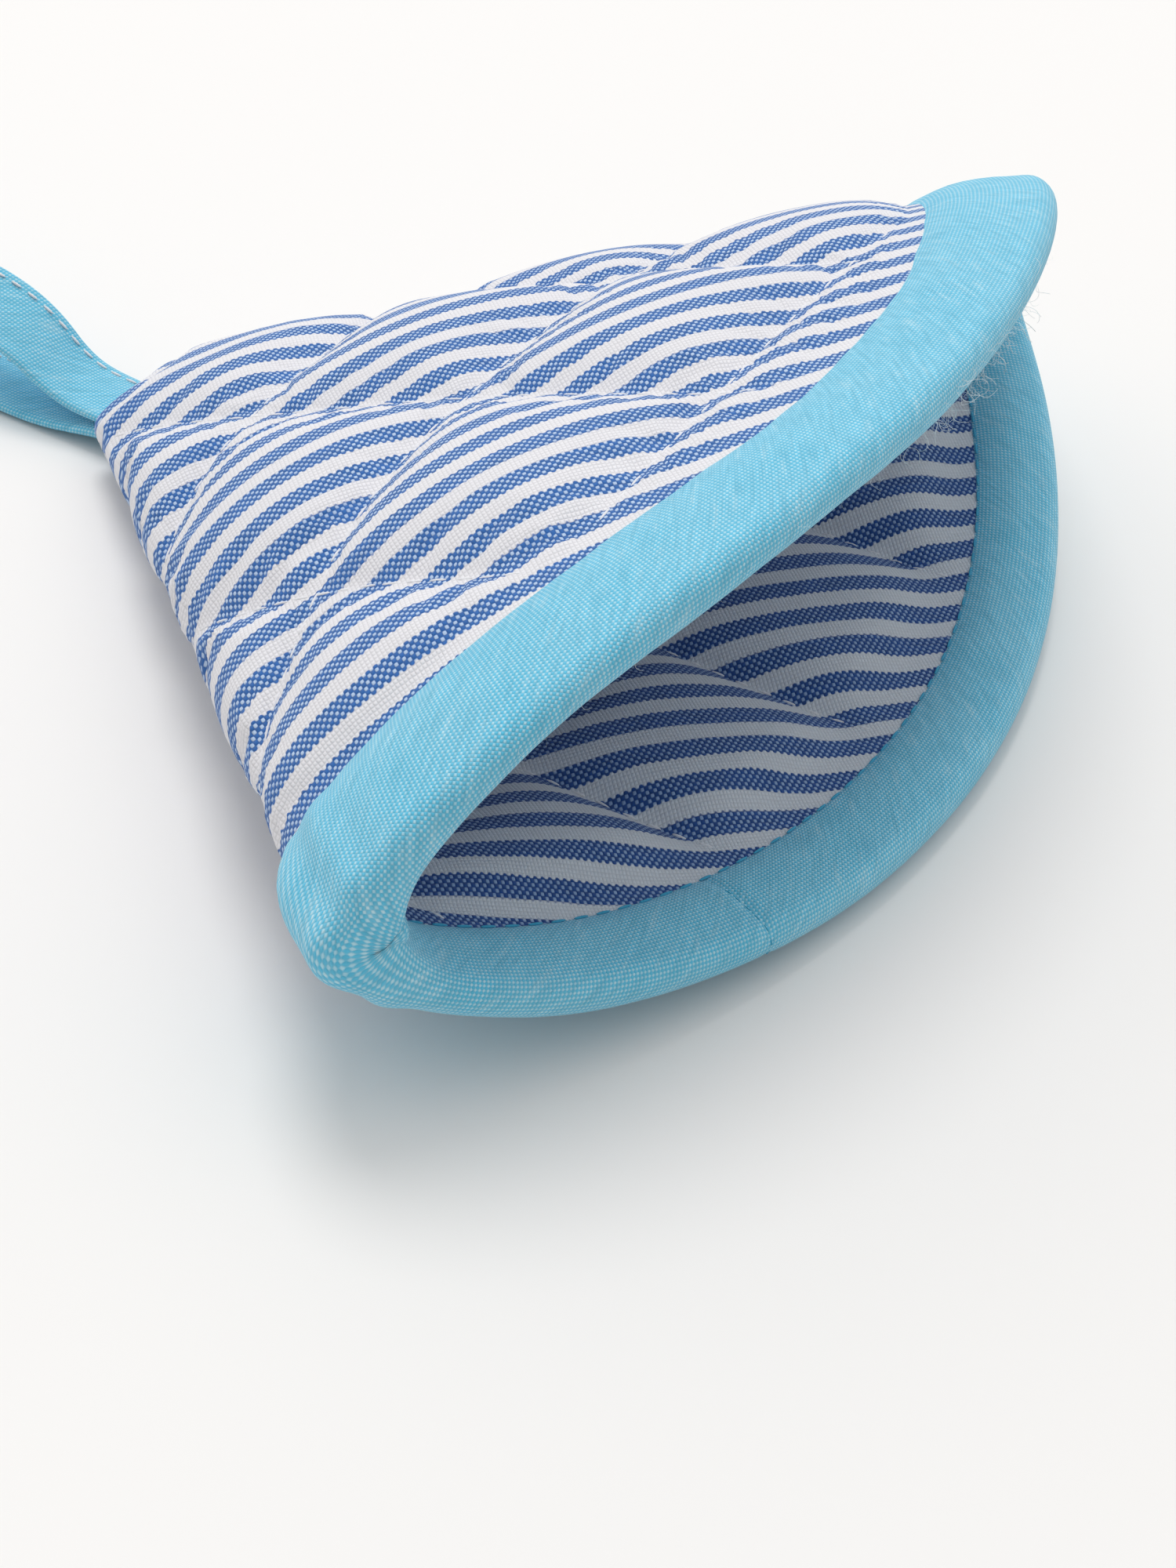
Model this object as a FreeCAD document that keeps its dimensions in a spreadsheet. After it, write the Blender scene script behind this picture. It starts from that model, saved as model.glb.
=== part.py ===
import FreeCAD, Part
import math
import os
import sys

# A quilted pinch mitt: a half disc of quilt folded along its near straight edge and seamed along the far one,
# so that it makes a shallow cone with an open, tape-bound mouth, and a strap loop at the blunt point.
#
# Two frames are used. The pouch frame has its origin at the inner point of the pouch, +X along the middle of
# the pouch towards the mouth, +Y towards the seamed side, and its XY plane through both side edges. The
# object's frame has +Z up and its origin on the flat underside; the pouch lies in it tilted about Y, so that
# the middle of the lower panel is level.

doc = FreeCAD.newDocument("PinchMitt")
sheet = doc.addObject("Spreadsheet::Sheet", "Sizes")

SIZES = {
    # the pouch
    "mouth_radius": 125.0,        # inner point to the rim of the mouth
    "tilt": 10.45,                # degrees from the lower panel to the plane of the side edges
    "side_slope": 0.958,          # half width over distance from the point
    "upper_slope": 0.2095,        # rise of the upper panel over the plane of the side edges
    "apex_half_width": 2.0,       # inner half width where the pouch begins
    "apex_half_height": 0.5,
    "loft_length": 150.0,         # length of the cones before the mouth is cut
    "apex_to_origin": 62.0,       # along X, inner point to the object's origin
    # the quilt
    "quilt_thickness": 4.6,
    "cloth_thickness": 0.8,
    "flat_depth": 0.3,            # how far the underside is flattened by lying on a table
    "thread_depth": 0.35,
    "thread_width": 0.6,
    "quilting_spacing": 32.0,
    "quilting_middle_y": -10.5,   # the middle one of the three lines that run towards the mouth
    "quilting_first_x": 33.0,     # the first of the three lines that run across
    # the mouth tape
    "tape_thickness": 0.5,
    "tape_width": 13.0,
    "tape_stitch_inset": 1.0,
    "join_angle": -22.0,          # degrees from the middle, where the two ends of the tape meet
    # the moving middle of the upper panel
    "panel_half_angle": 39.8,     # degrees from the middle to the side folds
    "panel_start": 2.5,           # distance from the inner point
    "fold_start": 2.0,
    # the side seam
    "allowance_half_angle": 41.7,
    "seam_half_angle": 42.2,
    "seam_height": 0.5,
    # the blunt point
    "apex_length": 4.0,
    "apex_draw_in": 1.0,
    "ends_start": 0.5,
    # the loop
    "strap_width": 10.4,
    "strap_thickness": 1.6,
    "strap_end_gap": 0.1,
    "ends_width": 9.6,
    "loop_pivot": 5.9,            # from the inner point back to the line that the loop swings about
    "loop_length": 41.0,          # pivot to the centre of the loop's round end
    "loop_rise": 6.2,             # the same, upwards
    "loop_end_radius": 9.0,
    "legs_part": 7.0,             # distance from the pivot at which the two legs part
    "legs_part_radius": 0.3,
    "edge_inset": 1.3,            # edge of the strap to the middle of its edge stitching
    "stitch_length": 2.2,
    "stitch_pitch": 3.2,
    "stitch_width": 0.5,
    "stitch_height": 0.25,
    "first_stitch": 8.0,
}
STITCHES_PER_LEG = 10
REACH = 200.0                     # half the size of the blocks that split the pouch, past it on every side

for row, (alias, value) in enumerate(SIZES.items(), start=1):
    sheet.set(f"A{row}", alias)
    sheet.set(f"B{row}", repr(value))
    sheet.setAlias(f"B{row}", alias)
doc.recompute()


def cell(text):
    """Put the sheet's name before every alias in an expression, where each is written with a leading dollar."""
    return text.replace("$", "Sizes.")


def add(kind, name, **expressions):
    """Add one object; double underscores in a property's name stand for dots."""
    made = doc.addObject(kind, name)
    for prop, text in expressions.items():
        made.setExpression(prop.replace("__", "."), cell(str(text)))
    return made


def cut(name, base, tool):
    made = doc.addObject("Part::Cut", name)
    made.Base = base
    made.Tool = tool
    return made


def common(name, *shapes):
    made = doc.addObject("Part::MultiCommon", name)
    made.Shapes = list(shapes)
    return made


def fuse(name, *shapes):
    made = doc.addObject("Part::MultiFuse", name)
    made.Shapes = list(shapes)
    return made


# ---------------------------------------------------------------- cones, one for each depth in the quilt
ELLIPSE_UPRIGHT = FreeCAD.Rotation(FreeCAD.Vector(1, 1, 1), 120)
SLOPE = {"upper": "$upper_slope", "lower": "tan($tilt)"}
DEPTHS = {
    "cavity": "0",
    "tape_inner": "$tape_thickness",
    "lining": "$cloth_thickness",
    "wadding": "($quilt_thickness - $cloth_thickness)",
    "tape_outer": "($quilt_thickness - $tape_thickness)",
    "thread": "($quilt_thickness - $thread_depth)",
    "skin": "$quilt_thickness",
}


def ellipse(name, x, half_width, half_height):
    """An upright elliptical section of the pouch at a distance x from its inner point."""
    made = doc.addObject("Part::Ellipse", name)
    made.Placement = FreeCAD.Placement(FreeCAD.Vector(0, 0, 0), ELLIPSE_UPRIGHT)
    made.setExpression("Placement.Base.x", cell(x))
    made.setExpression("MajorRadius", cell(half_width))
    made.setExpression("MinorRadius", cell(half_height))
    return made


def loft(name, *sections):
    made = doc.addObject("Part::Loft", name)
    made.Sections = list(sections)
    made.Solid = True
    made.Ruled = True
    return made


cones = {}
for half, slope in SLOPE.items():
    for depth_name, depth in DEPTHS.items():
        stem = f"cone_{half}_{depth_name}"
        near = ellipse(stem + "_near", "0", f"$apex_half_width + {depth}", f"$apex_half_height + {depth}")
        far = ellipse(
            stem + "_far",
            "$loft_length",
            f"$side_slope * $loft_length + {depth}",
            f"{slope} * $loft_length + {depth}",
        )
        cones[half, depth_name] = loft(stem, near, far)


def shell(name, half, outer, inner):
    """The space between two depths of the quilt, all round one of the two cones."""
    return cut(name, cones[half, outer], cones[half, inner])


# ---------------------------------------------------------------- balls about the inner point, for the mouth
def ball(name, radius):
    return add("Part::Sphere", name, Radius=radius)


rim_ball = ball("rim_ball", "$mouth_radius")
tape_ball = ball("tape_ball", "$mouth_radius + $tape_thickness")
tape_edge_ball = ball("tape_edge_ball", "$mouth_radius - $tape_width")
stitch_inner_ball = ball("stitch_inner_ball", "$mouth_radius - $tape_width + $tape_stitch_inset")
stitch_outer_ball = ball(
    "stitch_outer_ball", "$mouth_radius - $tape_width + $tape_stitch_inset + $thread_width"
)
tape_zone = cut("tape_zone", tape_ball, tape_edge_ball)
stitch_zone = cut("stitch_zone", stitch_outer_ball, stitch_inner_ball)


# ---------------------------------------------------------------- the regions of the pouch
def sector(name, half_angle, start, upper_only=True):
    """A pie slice about the middle of the pouch, from a start distance outwards."""
    made = add(
        "Part::Cylinder",
        name,
        Radius=REACH,
        Height=REACH if upper_only else 2 * REACH,
        Angle=f"2 * {half_angle}",
        Placement__Base__x=start,
    )
    made.Placement = FreeCAD.Placement(
        FreeCAD.Vector(0, 0, 0 if upper_only else -REACH), FreeCAD.Rotation(FreeCAD.Vector(0, 0, 1), 0)
    )
    made.setExpression("Placement.Rotation.Angle", cell(f"-{half_angle}"))
    made.setExpression("Placement.Base.x", cell(start))
    return made


def block(name, corner, size):
    made = doc.addObject("Part::Box", name)
    made.Length, made.Width, made.Height = size
    made.Placement.Base = FreeCAD.Vector(*corner)
    return made


moving_sector = sector("moving_sector", "$panel_half_angle", "$panel_start")
fixed_sector = sector("fixed_sector", "$panel_half_angle", "$fold_start")
near_block = block("near_block", (-REACH, -REACH, 0), (2 * REACH, REACH, REACH))
far_block = block("far_block", (-REACH, 0, 0), (2 * REACH, REACH, REACH))
lower_block = block("lower_block", (-REACH, -REACH, -REACH), (2 * REACH, 2 * REACH, REACH))

table = block("table", (0, 0, 0), (2 * REACH, 2 * REACH, REACH))
table.Placement.Rotation = FreeCAD.Rotation(FreeCAD.Vector(0, 1, 0), 1)
TABLE_DROP = f"(-$quilt_thickness - $apex_half_height + $flat_depth - {REACH})"
for prop, text in {
    "Placement.Rotation.Angle": "$tilt",
    "Placement.Base.x": f"-{REACH} * cos($tilt) + {TABLE_DROP} * sin($tilt)",
    "Placement.Base.y": f"-{REACH}",
    "Placement.Base.z": f"{REACH} * sin($tilt) + {TABLE_DROP} * cos($tilt)",
}.items():
    table.setExpression(prop, cell(text))

nodes = []


def keep(piece, name):
    """Make a sub-part of an object: a placed copy in the object's frame, so that the object can still be a tool."""
    placed = doc.addObject("Part::Compound", name + "_placed")
    placed.Links = [piece]
    placed.Placement = FreeCAD.Placement(
        FreeCAD.Vector(0, 0, 0), FreeCAD.Rotation(FreeCAD.Vector(0, 1, 0), -1)
    )
    placed.setExpression("Placement.Rotation.Angle", cell("-$tilt"))
    placed.setExpression("Placement.Base.x", cell("-$apex_to_origin"))
    placed.setExpression("Placement.Base.z", cell("$quilt_thickness + $apex_half_height - $flat_depth"))
    placed.Label = name
    nodes.append(placed)


# Each region: the cone that it belongs to, the shapes that it lies inside, and the shapes that it lies outside.
REGIONS = {
    "upper": ("upper", [moving_sector], []),
    "near_fold": ("upper", [near_block], [fixed_sector]),
    "far_side": ("upper", [far_block], [fixed_sector]),
    "lower": ("lower", [lower_block], [table]),
}


def in_region(name, region, body):
    """The part of a body that lies in one region."""
    _, inside, outside = REGIONS[region]
    piece = common(name + "_inside", body, *inside)
    for number, tool in enumerate(outside):
        piece = cut(f"{name}_outside_{number}", piece, tool)
    return piece


# ---------------------------------------------------------------- quilting: a grid of stitch lines
def thread_grid():
    """Three upright slabs towards the mouth and three across, where the stitch lines run."""
    slabs = []
    for number in range(3):
        steps = number - 1
        along = block(f"slab_along_{number}", (0, 0, -REACH), (REACH, 1, 2 * REACH))
        along.setExpression("Width", cell("$thread_width"))
        along.setExpression("Placement.Base.y", cell(f"$quilting_middle_y + {steps} * $quilting_spacing"))
        across = block(f"slab_across_{number}", (0, -REACH, -REACH), (1, 2 * REACH, 2 * REACH))
        across.setExpression("Length", cell("$thread_width"))
        across.setExpression("Placement.Base.x", cell(f"$quilting_first_x + {number} * $quilting_spacing"))
        slabs += [along, across]
    return fuse("thread_grid", *slabs)


grid = thread_grid()
quilting = {}
for region in ("upper", "lower"):
    face = shell(f"quilting_face_{region}", region, "skin", "thread")
    lines = common(f"quilting_lines_{region}", face, tape_edge_ball, grid)
    quilting[region] = in_region(f"quilting_{region}", region, lines)

# ---------------------------------------------------------------- the mouth tape and its stitching
wraps = {}
tape_stitch = {}
for half in SLOPE:
    around = common(f"tape_around_{half}", shell(f"tape_wall_{half}", half, "skin", "cavity"), tape_zone)
    core = common(f"tape_core_{half}", shell(f"tape_slot_{half}", half, "tape_outer", "tape_inner"), rim_ball)
    wraps[half] = cut(f"tape_wrap_{half}", around, core)
    face = shell(f"stitch_face_{half}", half, "skin", "thread")
    tape_stitch[half] = common(f"stitch_line_{half}", face, stitch_zone)

join_slab = block("join_slab", (0, 0, -REACH), (REACH, 1, REACH))
join_slab.Placement.Rotation = FreeCAD.Rotation(FreeCAD.Vector(0, 0, 1), -1)
join_slab.setExpression("Placement.Rotation.Angle", cell("$join_angle"))
join_slab.setExpression("Width", cell("$thread_width"))
join_face = shell("join_face", "lower", "skin", "thread")
join_seam = cut("join_above_stitch", common("join_line", join_face, tape_zone, join_slab), tape_stitch["lower"])
tape_join = in_region("tape_join", "lower", join_seam)

TAPE_NAMES = {
    "upper": "mouth_tape_upper",
    "near_fold": "mouth_tape_near_corner",
    "far_side": "mouth_tape_far_corner",
    "lower": "mouth_tape_lower",
}
for region, node_name in TAPE_NAMES.items():
    half = REGIONS[region][0]
    piece = cut(node_name + "_grooved", in_region(node_name, region, wraps[half]), tape_stitch[half])
    if region == "lower":
        piece = cut(node_name + "_joined", piece, tape_join)
    keep(piece, node_name)
    keep(in_region("tape_stitching_" + region, region, tape_stitch[half]), "tape_stitching_" + region)
keep(tape_join, "tape_join_seam")

# ---------------------------------------------------------------- the three layers of the quilt
LAYERS = {
    "cover": ("skin", "wadding"),
    "wadding": ("wadding", "lining"),
    "lining": ("lining", "cavity"),
}
for layer, (outer, inner) in LAYERS.items():
    for region, (half, _, _) in REGIONS.items():
        name = f"{layer}_{region}"
        walls = common(name + "_walls", shell(name + "_shell", half, outer, inner), rim_ball)
        piece = in_region(name, region, walls)
        if layer != "wadding":
            piece = cut(name + "_bound", piece, wraps[half])
        if layer == "cover" and region in quilting:
            piece = cut(name + "_quilted", piece, quilting[region])
        keep(piece, name)
for region, lines in quilting.items():
    keep(lines, "quilting_thread_" + region)

# ---------------------------------------------------------------- the seam along the far side, inside
inside_upper = common("inside_upper", cones["upper", "cavity"], tape_edge_ball, far_block)
far_low_block = block("far_low_block", (-REACH, 0, -REACH), (2 * REACH, REACH, REACH))
inside_lower = common("inside_lower", cones["lower", "cavity"], tape_edge_ball, far_low_block)
allowance_sector = sector("allowance_sector", "$allowance_half_angle", "$fold_start", upper_only=False)
seam_sector = sector("seam_sector", "$seam_half_angle", "$fold_start", upper_only=False)
allowance_all = cut("allowance_all", fuse("inside_both", inside_upper, inside_lower), allowance_sector)
seam_strip = block("seam_strip", (0, 0, 0), (REACH, REACH, 1))
seam_strip.setExpression("Height", cell("$seam_height"))
seam_strip.setExpression("Placement.Base.z", cell("-$seam_height / 2"))
seam_behind = cut("seam_behind", allowance_all, seam_sector)
seam_thread = common("seam_thread_line", seam_behind, seam_strip)
keep(cut("seam_allowance_cut", allowance_all, seam_thread), "side_seam_allowance")
keep(seam_thread, "side_seam_thread")

# ---------------------------------------------------------------- the blunt point that holds the strap's ends
def apex_section(name, x, depth):
    return ellipse(name, x, f"$apex_half_width + {depth}", f"$apex_half_height + {depth}")


skin = "$quilt_thickness"
under = "($quilt_thickness - $cloth_thickness)"
apex_outer = loft(
    "apex_outer",
    apex_section("apex_outer_back", "-$apex_length", f"{skin} - $apex_draw_in"),
    apex_section("apex_outer_front", "0", skin),
)
apex_inner = loft(
    "apex_inner",
    apex_section("apex_inner_back", "-$apex_length + $cloth_thickness", f"{under} - $apex_draw_in"),
    apex_section("apex_inner_front", "0", under),
)
ends_slot = add(
    "Part::Box",
    "ends_slot",
    Length="$apex_length - $ends_start",
    Width="$ends_width",
    Height="2 * $strap_thickness",
    Placement__Base__x="-$apex_length",
    Placement__Base__y="-$ends_width / 2",
    Placement__Base__z="-$strap_thickness",
)
ends = []
for side, base in (("top", "$strap_end_gap / 2"), ("bottom", "-$strap_thickness")):
    ends.append(
        add(
            "Part::Box",
            "strap_end_" + side,
            Length="$apex_length - $ends_start",
            Width="$ends_width",
            Height="$strap_thickness - $strap_end_gap / 2",
            Placement__Base__x="-$apex_length",
            Placement__Base__y="-$ends_width / 2",
            Placement__Base__z=base,
        )
    )
ends_pair = doc.addObject("Part::Compound", "strap_ends")
ends_pair.Links = ends
apex_cup = cut("apex_cup", cut("apex_cup_wall", apex_outer, apex_inner), ends_slot)
keep(cut("apex_cup_on_table", apex_cup, table), "cover_apex")
keep(cut("apex_filling", apex_inner, ends_slot), "apex_seam_allowance")
keep(ends_pair, "loop_ends")


# ---------------------------------------------------------------- the hanging loop
def place_loop(piece):
    """Put an object, drawn about the line that the loop swings about, in the object's frame."""
    piece.setExpression("Placement.Base.x", cell("-$apex_to_origin - $loop_pivot * cos($tilt)"))
    piece.setExpression(
        "Placement.Base.z",
        cell("$quilt_thickness + $apex_half_height - $flat_depth - $loop_pivot * sin($tilt)"),
    )


def belt(sketch, near, far):
    """Draw two arcs and the two outer tangents round them; each circle is (x, z, radius) in millimetres."""
    (near_x, near_z, near_r), (far_x, far_z, far_r) = near, far
    span = math.hypot(near_x - far_x, near_z - far_z)
    heading = math.atan2(near_z - far_z, near_x - far_x)
    spread = math.acos((far_r - near_r) / span)
    points = {}
    for side in (1, -1):
        turn = heading + side * spread
        for key, (x, z, radius) in (("near", near), ("far", far)):
            points[key, side] = FreeCAD.Vector(x + radius * math.cos(turn), z + radius * math.sin(turn), 0)
    beyond_near = FreeCAD.Vector(near_x + near_r * math.cos(heading), near_z + near_r * math.sin(heading), 0)
    beyond_far = FreeCAD.Vector(far_x - far_r * math.cos(heading), far_z - far_r * math.sin(heading), 0)
    sketch.addGeometry(
        [
            Part.Arc(points["near", -1], beyond_near, points["near", 1]),
            Part.LineSegment(points["near", 1], points["far", 1]),
            Part.Arc(points["far", 1], beyond_far, points["far", -1]),
            Part.LineSegment(points["far", -1], points["near", -1]),
        ],
        False,
    )


def size(alias):
    return float(sheet.get(alias))


def loop_circles(inset):
    """The bead at the pivot and the round end of the loop, drawn in by an inset."""
    bead = (0.0, 0.0, size("strap_thickness"))
    end = (-size("loop_length"), size("loop_rise"), size("loop_end_radius") - inset)
    parting = (-size("legs_part"), size("legs_part") * size("loop_rise") / size("loop_length"),
               size("legs_part_radius"))
    return (parting if inset else bead), end


strap = doc.addObject("PartDesign::Body", "LoopStrap")
outline = strap.newObject("Sketcher::SketchObject", "LoopOutline")
xz_plane = next(item for item in strap.Origin.OriginFeatures if item.Role == "XZ_Plane")
outline.AttachmentSupport = (xz_plane, [""])
outline.MapMode = "FlatFace"
belt(outline, *loop_circles(0.0))
belt(outline, *loop_circles(size("strap_thickness")))
strap_pad = strap.newObject("PartDesign::Pad", "LoopPad")
strap_pad.Profile = outline
strap_pad.Midplane = True
strap_pad.setExpression("Length", cell("$strap_width"))
strap.Tip = strap_pad
place_loop(strap)
strap.Label = "loop_strap"
nodes.append(strap)


def edge_stitches():
    """White stitches along the far edge of the strap, on the outer face of each leg."""
    (_, _, near_r), (far_x, far_z, far_r) = loop_circles(0.0)
    span = math.hypot(far_x, far_z)
    heading = math.atan2(-far_z, -far_x)
    spread = math.acos((far_r - near_r) / span)
    stitches = []
    for side in (1, -1):
        turn = heading + side * spread
        outwards = FreeCAD.Vector(math.cos(turn), 0, math.sin(turn))
        along = FreeCAD.Vector(side * math.sin(turn), 0, -side * math.cos(turn))
        if along.x > 0:
            along = along * -1
        for number in range(STITCHES_PER_LEG):
            centre = outwards * near_r + along * (size("first_stitch") + number * size("stitch_pitch"))
            stitch = doc.addObject("Part::Box", f"edge_stitch_{'up' if side < 0 else 'down'}_{number}")
            stitch.setExpression("Length", cell("$stitch_length"))
            stitch.setExpression("Width", cell("$stitch_width"))
            stitch.setExpression("Height", cell("$stitch_height"))
            across = outwards.cross(along)
            turned = FreeCAD.Rotation(along, across, outwards, "XZY")
            base = centre - along * (size("stitch_length") / 2)
            base.y = size("strap_width") / 2 - size("edge_inset")
            stitch.Placement = FreeCAD.Placement(base, turned)
            stitches.append(stitch)
    row = doc.addObject("Part::Compound", "edge_stitch_rows")
    row.Links = stitches
    return row


stitch_rows = edge_stitches()
place_loop(stitch_rows)
stitch_rows.Label = "loop_edge_stitching"
nodes.append(stitch_rows)

# ---------------------------------------------------------------- check and write
doc.recompute()
faults = [item.Name for item in doc.Objects if "Invalid" in item.State or "Error" in item.State]
for node in nodes:
    shape = node.Shape
    if shape.isNull() or not shape.isValid() or not shape.Solids or shape.Volume <= 0:
        faults.append(node.Label)
if faults:
    sys.exit("failed: " + ", ".join(faults))

os.makedirs("parts", exist_ok=True)
for node in nodes:
    node.Shape.exportStep(f"parts/{node.Label}.step")
    box = node.Shape.optimalBoundingBox(False, False)
    print(
        f"{node.Label:26s} solids {len(node.Shape.Solids)} volume {node.Shape.Volume:9.1f} "
        f"x {box.XMin:7.2f} {box.XMax:7.2f} y {box.YMin:7.2f} {box.YMax:7.2f} z {box.ZMin:6.2f} {box.ZMax:6.2f}"
    )
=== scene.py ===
"""A quilted pinch mitt: a folded half disc of striped quilt with a tape-bound mouth and a strap loop."""

from __future__ import annotations

import logging
import math
from dataclasses import dataclass, field
from enum import Enum
from typing import Any, Callable, Sequence

import bpy
import numpy as np
from mathutils import Matrix, Vector

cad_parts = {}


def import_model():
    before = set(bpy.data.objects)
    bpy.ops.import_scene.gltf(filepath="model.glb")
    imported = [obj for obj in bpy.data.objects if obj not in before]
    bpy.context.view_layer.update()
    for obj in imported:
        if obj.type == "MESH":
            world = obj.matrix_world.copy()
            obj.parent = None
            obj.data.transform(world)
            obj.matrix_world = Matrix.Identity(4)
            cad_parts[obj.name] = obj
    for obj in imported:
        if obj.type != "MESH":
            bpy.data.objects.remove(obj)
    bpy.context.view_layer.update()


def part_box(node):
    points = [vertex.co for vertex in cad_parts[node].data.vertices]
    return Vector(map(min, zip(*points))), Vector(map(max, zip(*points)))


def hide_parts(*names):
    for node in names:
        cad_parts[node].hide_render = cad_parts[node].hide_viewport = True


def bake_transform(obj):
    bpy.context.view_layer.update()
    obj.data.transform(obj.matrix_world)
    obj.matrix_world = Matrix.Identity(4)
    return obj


LOG = logging.getLogger("mitt")
MM = 0.001
SEED = 7


class Half(Enum):
    """The rigid bodies that the mitt's pieces move with."""

    LOWER = "lower_half"
    UPPER = "upper_half"
    LOOP = "hanging_loop"


class Face(Enum):
    """The two faces of the quilt."""

    OUTSIDE = 1
    INSIDE = -1


# ------------------------------------------------------------------------------------ mesh helpers
def deselect_all() -> None:
    """Leave nothing selected."""
    if bpy.context.object and bpy.context.object.mode != "OBJECT":
        bpy.ops.object.mode_set(mode="OBJECT")
    bpy.ops.object.select_all(action="DESELECT")


def activate(piece: bpy.types.Object) -> None:
    """Select one object alone and make it active.

    Args:
        piece: The object.
    """
    deselect_all()
    piece.select_set(True)
    bpy.context.view_layer.objects.active = piece


def apply_modifier(piece: bpy.types.Object, kind: str, **settings: Any) -> None:
    """Add a modifier and apply it.

    Args:
        piece: The mesh object.
        kind: The modifier's type, such as SOLIDIFY.
        settings: Its properties.
    """
    modifier = piece.modifiers.new(kind.title(), kind)
    for key, value in settings.items():
        setattr(modifier, key, value)
    activate(piece)
    bpy.ops.object.modifier_apply(modifier=modifier.name)


def edit_all(piece: bpy.types.Object, operator: Callable[..., Any], **settings: Any) -> None:
    """Run one edit-mode operator on the whole of a mesh.

    Args:
        piece: The mesh object.
        operator: The operator.
        settings: Its arguments.
    """
    activate(piece)
    bpy.ops.object.mode_set(mode="EDIT")
    bpy.ops.mesh.select_all(action="SELECT")
    operator(**settings)
    bpy.ops.object.mode_set(mode="OBJECT")


def vertex_points(piece: bpy.types.Object) -> np.ndarray:
    """Read where a mesh's vertices are.

    Args:
        piece: The mesh object.

    Returns:
        The places, one row each.
    """
    flat = np.zeros(len(piece.data.vertices) * 3)
    piece.data.vertices.foreach_get("co", flat)
    return flat.reshape(-1, 3)


def set_points(piece: bpy.types.Object, points: np.ndarray) -> None:
    """Move a mesh's vertices to the given places."""
    piece.data.vertices.foreach_set("co", points.astype(np.float32).ravel())
    piece.data.update()


def fill_ends(piece: bpy.types.Object) -> None:
    """Close each open end of a tube.

    Args:
        piece: The mesh object.
    """
    activate(piece)
    bpy.ops.object.mode_set(mode="EDIT")
    bpy.ops.mesh.select_mode(type="EDGE")
    bpy.ops.mesh.select_all(action="DESELECT")
    bpy.ops.mesh.select_non_manifold()
    bpy.ops.mesh.fill_holes(sides=0)
    bpy.ops.mesh.select_mode(type="VERT")
    bpy.ops.object.mode_set(mode="OBJECT")


def join(pieces: Sequence[bpy.types.Object], name: str, material: bpy.types.Material) -> bpy.types.Object:
    """Join pieces into one.

    Args:
        pieces: The mesh objects.
        name: The name of the joined piece.
        material: Its material.

    Returns:
        The joined piece.
    """
    deselect_all()
    for piece in pieces:
        piece.select_set(True)
    bpy.context.view_layer.objects.active = pieces[0]
    bpy.ops.object.join()
    pieces[0].name = name
    pieces[0].data.name = name
    pieces[0].data.materials.clear()
    pieces[0].data.materials.append(material)
    return pieces[0]


@dataclass
class Cloth:
    """A grid mesh bent to shape, which remembers which vertex is in which row and column."""

    piece: bpy.types.Object
    columns: np.ndarray
    rows: np.ndarray

    @classmethod
    def lay(cls, name: str, points: np.ndarray, flat: np.ndarray) -> "Cloth":
        """Add a grid primitive and bend it.

        Args:
            name: The object's name.
            points: The place of each grid point, shaped (rows, columns, 3).
            flat: Its place on the flat cloth, shaped (rows, columns, 2).

        Returns:
            The cloth.
        """
        row_count, column_count = points.shape[0] - 1, points.shape[1] - 1
        deselect_all()
        bpy.ops.mesh.primitive_grid_add(x_subdivisions=column_count, y_subdivisions=row_count, size=1.0)
        piece = bpy.context.active_object
        piece.name = name
        piece.data.name = name
        square = vertex_points(piece)
        columns = np.rint((square[:, 0] + 0.5) * column_count).astype(int)
        rows = np.rint((square[:, 1] + 0.5) * row_count).astype(int)
        set_points(piece, points[rows, columns])
        corners = np.zeros(len(piece.data.loops), int)
        piece.data.loops.foreach_get("vertex_index", corners)
        layer = piece.data.uv_layers.active or piece.data.uv_layers.new(name="UVMap")
        layer.data.foreach_set("uv", flat[rows[corners], columns[corners]].astype(np.float32).ravel())
        bpy.ops.object.shade_smooth()
        return cls(piece, columns, rows)


def smooth_step(low: float, high: float, value: np.ndarray) -> np.ndarray:
    """Rise smoothly from 0 at low to 1 at high."""
    share = np.clip((value - low) / (high - low), 0.0, 1.0)
    return share * share * (3.0 - 2.0 * share)


def unit(vectors: np.ndarray) -> np.ndarray:
    """Vectors of length one along the last axis."""
    return vectors / (np.linalg.norm(vectors, axis=-1, keepdims=True) + 1e-12)


def travelled(line: np.ndarray) -> np.ndarray:
    """The distance along a line of points, from its start to each point."""
    return np.concatenate([[0.0], np.cumsum(np.linalg.norm(np.diff(line, axis=0), axis=1))])


def along_line(values: np.ndarray, travel: np.ndarray, wanted: np.ndarray) -> np.ndarray:
    """Read vectors kept along a line, shaped (n, 3), at wanted distances along it."""
    return np.stack([np.interp(wanted, travel, values[:, k]) for k in range(3)], -1)


def ripple(flat: np.ndarray, wavelength: float, seed: int) -> np.ndarray:
    """Smooth random waves over the cloth, about -1 to 1, the same each run.

    Args:
        flat: Places on the flat cloth, last axis 2.
        wavelength: The usual length of a wave.
        seed: Picks the waves.

    Returns:
        A value for each place.
    """
    rng = np.random.default_rng(seed)
    total = np.zeros(flat.shape[:-1])
    waves = 9
    for _ in range(waves):
        angle, phase = rng.uniform(0, 2 * math.pi, 2)
        length = wavelength * rng.uniform(0.6, 1.6)
        along = flat[..., 0] * math.cos(angle) + flat[..., 1] * math.sin(angle)
        total += np.sin(2 * math.pi * along / length + phase)
    return total / math.sqrt(waves)


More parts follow.
